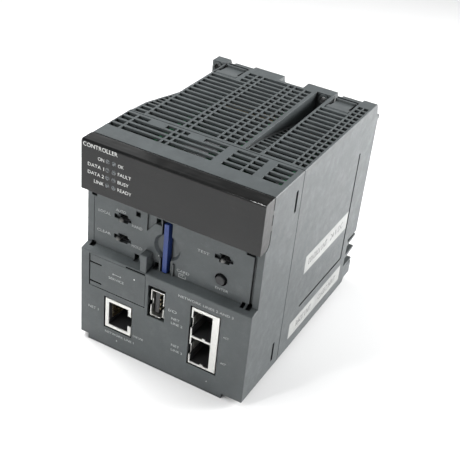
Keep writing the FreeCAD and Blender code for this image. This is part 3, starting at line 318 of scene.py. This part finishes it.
def printed_film(name):
    """Sticker stock: pale film with soft blotches and faint fibres."""
    s = Shader(name, Specular_IOR_Level=0.4)
    fibre = s.noise(0.5, 4.0, 0.7, s.stretched((1.0, 0.25, 1.0)))
    blotch = s.noise(9.0, 4.0, 0.6)
    body = s.mix(s.span(blotch, 0.35, 0.7, 0.0, 1.0), (0.25, 0.255, 0.25), (0.31, 0.315, 0.305))
    s.colour(s.mix(s.span(fibre, 0.55, 0.75, 0.0, 0.3), body, (0.2, 0.2, 0.195)))
    s.roughness(s.spread(fibre, 0.38, 0.52))
    s.bump(fibre, 0.012, 0.4)
    return s.material


def ink(name, tone, patchy=0.25):
    """Screen-printed ink, slightly uneven."""
    s = Shader(name, Specular_IOR_Level=0.4)
    wear = s.noise(0.6, 4.0, 0.65)
    s.colour(s.mix(s.span(wear, 0.45, 0.75, 0.0, patchy), tone, scaled(tone, 0.45)))
    s.roughness(s.spread(wear, 0.4, 0.6))
    s.bump(wear, 0.006, 0.3)
    return s.material


def clear_rod(name):
    """Unlit lamp face: dark milky moulding with a bright skin."""
    s = Shader(name, Specular_IOR_Level=0.6, Transmission_Weight=0.25)
    cloud = s.noise(0.8, 3.0)
    s.colour(s.mix(s.spread(cloud), (0.045, 0.052, 0.055), (0.10, 0.112, 0.116)))
    s.roughness(s.spread(cloud, 0.22, 0.34))
    s.bump(cloud, 0.05, 0.5, bevel_mm=0.25)
    return s.material


def sleeve(name):
    """Shrink sleeve on the cell: coloured film with a dark band and wrinkles."""
    s = Shader(name, Specular_IOR_Level=0.5)
    along = s.add("SeparateXYZ", "Y", Vector=s.place)
    past_start = s.calc("GREATER_THAN", along, 4.0 * MM)
    before_end = s.calc("LESS_THAN", along, 9.0 * MM)
    band = s.calc("MULTIPLY", past_start, before_end)
    wrinkle = s.noise(1.2, 3.0, 0.6, s.stretched((1.0, 0.2, 1.0)))
    body = s.mix(s.spread(wrinkle), (0.40, 0.035, 0.03), (0.52, 0.06, 0.045))
    s.colour(s.mix(band, body, (0.03, 0.03, 0.03)))
    s.roughness(s.spread(wrinkle, 0.22, 0.36))
    s.bump(wrinkle, 0.06, 0.5)
    return s.material


def all_materials():
    """One material for every slot in the record."""
    return {
        "case_plastic": moulded_plastic("case_plastic", CASE_TONE, 0.46, 0.32, 0.05),
        "hook_plastic": moulded_plastic("hook_plastic", scaled(CASE_TONE, 0.92), 0.42, 0.3, 0.04),
        "cover_gloss": smoked_gloss("cover_gloss"),
        "lamp_clear": clear_rod("lamp_clear"),
        "lamp_chip": glossy_moulding("lamp_chip", (0.72, 0.72, 0.6), 0.3),
        "board_green": circuit_laminate("board_green"),
        "tin": rolled_tin("tin", (0.72, 0.72, 0.69), 0.4),
        "steel_pin": turned_metal("steel_pin", (0.62, 0.62, 0.63)),
        "cell_wrap": sleeve("cell_wrap"),
        "wire": glossy_moulding("wire", (0.32, 0.02, 0.02), 0.4),
        "socket_white": glossy_moulding("socket_white", (0.72, 0.70, 0.63), 0.4),
        "socket_black": glossy_moulding("socket_black", (0.028, 0.028, 0.029), 0.4),
        "brass_post": turned_metal("brass_post", (0.42, 0.31, 0.15), 0.34),
        "contact_gold": turned_metal("contact_gold", (0.74, 0.63, 0.42), 0.26),
        "card_blue": glossy_moulding("card_blue", (0.014, 0.034, 0.145), 0.4),
        "button_black": glossy_moulding("button_black", (0.012, 0.0125, 0.0135), 0.4),
        "chip_black": glossy_moulding("chip_black", (0.02, 0.02, 0.021), 0.5),
        "sink_alloy": rolled_tin("sink_alloy", (0.70, 0.70, 0.72), 0.38),
        "can_alloy": rolled_tin("can_alloy", (0.74, 0.74, 0.76), 0.28),
        "choke": glossy_moulding("choke", (0.045, 0.10, 0.085), 0.4),
        "label_white": printed_film("label_white"),
        "lever_metal": turned_metal("lever_metal", (0.17, 0.17, 0.165), 0.42),
    }


def dress_nodes(materials):
    """Give every CAD node the material of its slot."""
    slots = {entry["node"]: entry["material_slot"] for entry in frame["record"]["subparts"]}
    for name, node in frame["nodes"].items():
        node.data.materials.clear()
        node.data.materials.append(materials[slots[name]])


# ---- lettering ----
def text_mesh(words):
    """Flat mesh of one line of text in Blender's built-in font."""
    curve = bpy.data.curves.new("words", "FONT")
    curve.body = words
    curve.resolution_u = FONT_STEPS
    curve.offset = FONT_WEIGHT
    holder = bpy.data.objects.new("words", curve)
    bpy.context.scene.collection.objects.link(holder)
    bpy.context.view_layer.update()
    mesh = bpy.data.meshes.new_from_object(holder)
    bpy.data.objects.remove(holder)
    return mesh


def fit(mesh, low_x, high_x, low_y, high_y):
    """Stretch flat lettering to fill a box in its own plane."""
    xs = [v.co.x for v in mesh.vertices]
    ys = [v.co.y for v in mesh.vertices]
    wide = (high_x - low_x) / (max(xs) - min(xs))
    tall = (high_y - low_y) / (max(ys) - min(ys))
    scale = Matrix.Diagonal((wide, tall, 1.0, 1.0))
    mesh.transform(scale @ Matrix.Translation((-min(xs), -min(ys), 0.0)))
    mesh.transform(Matrix.Translation((low_x, low_y, 0.0)))


def on_front(depth_mm):
    """Place on a face that looks forward: across, up and out of it."""
    return lambda across, up, out: at(across, depth_mm - out, up)


def on_right(across, up, out):
    """Place on the right side, read from front to rear."""
    return at(WIDTH / MM + out, across, up)


def thicken(builder):
    """Give flat printing a thin edge: its faces rise above the surface they lie on."""
    bmesh.ops.remove_doubles(builder, verts=builder.verts, dist=SAME_POINT)
    made = bmesh.ops.extrude_face_region(builder, geom=builder.faces[:])
    raised = [item for item in made["geom"] if isinstance(item, bmesh.types.BMVert)]
    bmesh.ops.translate(builder, verts=raised, vec=(0.0, 0.0, INK_HEIGHT))
    bmesh.ops.recalc_face_normals(builder, faces=builder.faces)


def finish_piece(name, builder, face, material, body):
    """Lay printing, given in millimetres, on a face of a body that it rides on."""
    for vert in builder.verts:
        vert.co = face(*vert.co)
    bmesh.ops.recalc_face_normals(builder, faces=builder.faces)
    mesh = bpy.data.meshes.new(name)
    builder.to_mesh(mesh)
    builder.free()
    mesh.materials.append(material)
    piece = bpy.data.objects.new(name, mesh)
    bpy.context.scene.collection.objects.link(piece)
    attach(piece, body)


def lettering(name, lines, face, material, body):
    """Thin raised lettering on one face, all lines in one piece.

    Each line is (words, low and high across, low and high up) in millimetres on that face."""
    whole = bmesh.new()
    for words, low_x, high_x, low_y, high_y in lines:
        line = text_mesh(words)
        fit(line, low_x, high_x, low_y, high_y)
        part = bmesh.new()
        part.from_mesh(line)
        thicken(part)
        part.to_mesh(line)
        part.free()
        whole.from_mesh(line)
        bpy.data.meshes.remove(line)
    finish_piece(name, whole, face, material, body)


COVER_WORDS = [
    ("CONTROLLER", 0.9, 17.6, 95.3, 97.1),
    ("ON", 8.2, 11.2, 90.8, 92.3),
    ("DATA 1", 3.3, 11.2, 87.0, 88.5),
    ("DATA 2", 3.3, 11.2, 83.4, 84.9),
    ("LINK", 6.4, 11.2, 79.9, 81.4),
    ("OK", 17.9, 20.6, 90.8, 92.3),
    ("FAULT", 17.9, 24.2, 87.0, 88.5),
    ("BUSY", 17.9, 23.2, 83.4, 84.9),
    ("READY", 17.9, 24.6, 79.9, 81.4),
]

RECESS_WORDS = [
    ("LOCAL", 5.5, 11.6, 63.6, 64.9),
    ("AUTO", 14.2, 19.2, 67.1, 68.3),
    ("HAND", 22.4, 27.4, 62.3, 63.6),
    ("CLEAR", 4.9, 11.9, 53.8, 55.1),
    ("HOLD", 22.6, 27.8, 52.5, 53.8),
    ("TEST", 53.8, 59.4, 63.2, 64.4),
    ("ENTER", 63.4, 69.4, 48.9, 50.1),
    ("CARD", 45.0, 51.0, 49.6, 50.9),
]

PANEL_WORDS = [
    ("NET 1", 4.2, 9.6, 15.6, 16.9),
    ("ONE LINE", 28.0, 33.4, 9.6, 10.7),
    ("NETWORK LINE 1", 13.4, 28.6, 5.5, 6.7),
    ("NETWORK LINES 2 AND 3", 49.4, 75.4, 41.3, 42.5),
    ("NET", 46.8, 50.8, 28.2, 29.4),
    ("LINE 2", 46.8, 52.4, 25.8, 27.0),
    ("NET", 47.6, 51.6, 14.2, 15.4),
    ("LINE 3", 47.6, 53.2, 11.6, 12.8),
    ("I/O", 45.2, 49.2, 31.8, 33.2),
    ("ACT", 71.7, 74.3, 30.0, 31.0),
    ("ACT", 71.7, 74.3, 16.2, 17.2),
]

DOOR_WORDS = [("SERVICE", 14.6, 22.4, 35.4, 36.6)]

UPPER_STICKER_WORDS = [
    ("CONTROL UNIT", 53.0, 73.0, 41.2, 44.6),
    ("24 V DC", 77.0, 91.0, 41.2, 44.6),
]

LOWER_STICKER_WORDS = [
    ("RACK UNIT", 50.0, 66.0, 8.6, 12.0),
    ("CLASS 2 INPUT", 74.0, 94.0, 8.6, 12.0),
]


def disc(x, z, radius, corners=20):
    """Outline of a printed dot, or with three corners of an arrowhead that points up."""
    ring = []
    for corner in range(corners):
        angle = math.pi / 2 + 2 * math.pi * corner / corners
        ring.append((x + radius * math.cos(angle), z + radius * math.sin(angle)))
    return ring


def bar(x_lo, x_hi, z_lo, z_hi):
    """Outline of a printed bar."""
    return [(x_lo, z_lo), (x_hi, z_lo), (x_hi, z_hi), (x_lo, z_hi)]


# printed shapes: on the lower panel, on the door, and a little card outline in the recess
PANEL_MARKS = [disc(19.6, 3.0, 0.5, 3), disc(66.0, 3.4, 0.5, 3)]
DOOR_DOT = [disc(27.6, 40.2, 0.35)]
DOOR_MARKS = [bar(17.2, 20.2, 38.35, 38.6), disc(16.9, 38.45, 0.4), disc(20.6, 38.45, 0.5, 3)]
RECESS_MARKS = [
    disc(36.0, 53.4, 0.3),
    bar(46.0, 46.3, 47.2, 49.0),
    bar(46.0, 49.4, 47.0, 47.25),
    bar(49.15, 49.4, 47.2, 48.4),
    bar(46.0, 48.8, 48.8, 49.05),
    bar(47.0, 47.3, 47.9, 48.6),
    bar(47.7, 48.0, 47.9, 48.6),
]


def marks(name, outlines, face, material, body):
    """Printed shapes on one face, all in one piece."""
    builder = bmesh.new()
    for outline in outlines:
        builder.faces.new([builder.verts.new((*point, 0.0)) for point in outline])
    thicken(builder)
    finish_piece(name, builder, face, material, body)


def printed_marks():
    """All lettering and printed shapes on the module."""
    white = ink("ink_white", (0.62, 0.63, 0.61), 0.35)
    grey = ink("ink_grey", (0.36, 0.375, 0.37), 0.4)
    sticker = ink("ink_sticker", (0.13, 0.13, 0.13), 0.3)
    recess = on_front(RECESS_DEPTH)
    front = on_front(0.0)
    lettering("cover_lettering", COVER_WORDS, front, white, "casing")
    lettering("recess_lettering", RECESS_WORDS, recess, grey, "casing")
    lettering("panel_lettering", PANEL_WORDS, front, grey, "casing")
    lettering("door_lettering", DOOR_WORDS, front, grey, "service_door")
    lettering("upper_sticker_print", UPPER_STICKER_WORDS, on_right, sticker, "casing")
    lettering("lower_sticker_print", LOWER_STICKER_WORDS, on_right, sticker, "casing")
    marks("panel_marks", PANEL_MARKS, front, grey, "casing")
    marks("door_dot", DOOR_DOT, front, white, "service_door")
    marks("door_marks", DOOR_MARKS, front, grey, "service_door")
    marks("recess_marks", RECESS_MARKS, recess, grey, "casing")


# ---- studio ----
def camera():
    """Camera at the view of the reference, with its slight roll."""
    azimuth, elevation, roll = (math.radians(a) for a in (AZIMUTH, ELEVATION, ROLL))
    level = math.cos(elevation)
    back = Vector((math.sin(azimuth) * level, -math.cos(azimuth) * level, math.sin(elevation)))
    right = Vector((0, 0, 1)).cross(back).normalized()
    up = back.cross(right)
    right, up = (
        math.cos(roll) * right + math.sin(roll) * up,
        -math.sin(roll) * right + math.cos(roll) * up,
    )
    target = Vector((0, 0, CORNER.z + TARGET_HEIGHT))
    data = bpy.data.cameras.new("camera")
    data.lens = LENS
    data.clip_start = CLIP_NEAR
    data.clip_end = CLIP_FAR
    view = bpy.data.objects.new("camera", data)
    bpy.context.scene.collection.objects.link(view)
    spot = target - OFFSET_RIGHT * right - OFFSET_UP * up + DISTANCE * back
    turn = Matrix((right, up, back)).transposed().to_4x4()
    view.matrix_world = Matrix.Translation(spot) @ turn
    bpy.context.scene.camera = view


def floor():
    """Plain pale floor."""
    builder = bmesh.new()
    bmesh.ops.create_grid(builder, x_segments=1, y_segments=1, size=FLOOR_REACH)
    mesh = bpy.data.meshes.new("floor")
    builder.to_mesh(mesh)
    builder.free()
    ground = bpy.data.objects.new("floor", mesh)
    bpy.context.scene.collection.objects.link(ground)
    s = Shader("floor", Roughness=0.9)
    s.colour((*FLOOR_TONE, OPAQUE))
    mesh.materials.append(s.material)


def area_light(name, where, toward, size, power, mirrored):
    """Square soft light, which glossy surfaces show only if mirrored."""
    data = bpy.data.lights.new(name, "AREA")
    data.shape = "SQUARE"
    data.size = size
    data.energy = power
    lamp = bpy.data.objects.new(name, data)
    bpy.context.scene.collection.objects.link(lamp)
    lamp.visible_glossy = mirrored
    lamp.location = where
    lamp.rotation_mode = "QUATERNION"
    lamp.rotation_quaternion = (Vector(toward) - Vector(where)).to_track_quat("-Z", "Y")


def sky():
    """White room, dimmer overhead than at the horizon."""
    world = bpy.data.worlds.new("studio")
    bpy.context.scene.world = world
    world.use_nodes = True
    nodes = world.node_tree.nodes
    link = world.node_tree.links.new
    coords = nodes.new("ShaderNodeTexCoord")
    split = nodes.new("ShaderNodeSeparateXYZ")
    ramp = nodes.new("ShaderNodeValToRGB")
    while len(ramp.color_ramp.elements) < len(SKY):
        ramp.color_ramp.elements.new(1.0)
    for element, (position, level) in zip(ramp.color_ramp.elements, SKY):
        element.position = position
        element.color = (*scaled(SKY_TINT, level), OPAQUE)
    link(coords.outputs["Generated"], split.inputs["Vector"])
    link(split.outputs["Z"], ramp.inputs["Fac"])
    link(ramp.outputs["Color"], nodes["Background"].inputs["Color"])


def studio():
    """Room and lights: right rear, upper left, front left, a dim card, and one for glints."""
    bpy.context.scene.view_settings.view_transform = "Standard"
    sky()
    for light in LIGHTS:
        area_light(*light)


dress_nodes(all_materials())
printed_marks()
camera()
floor()
studio()
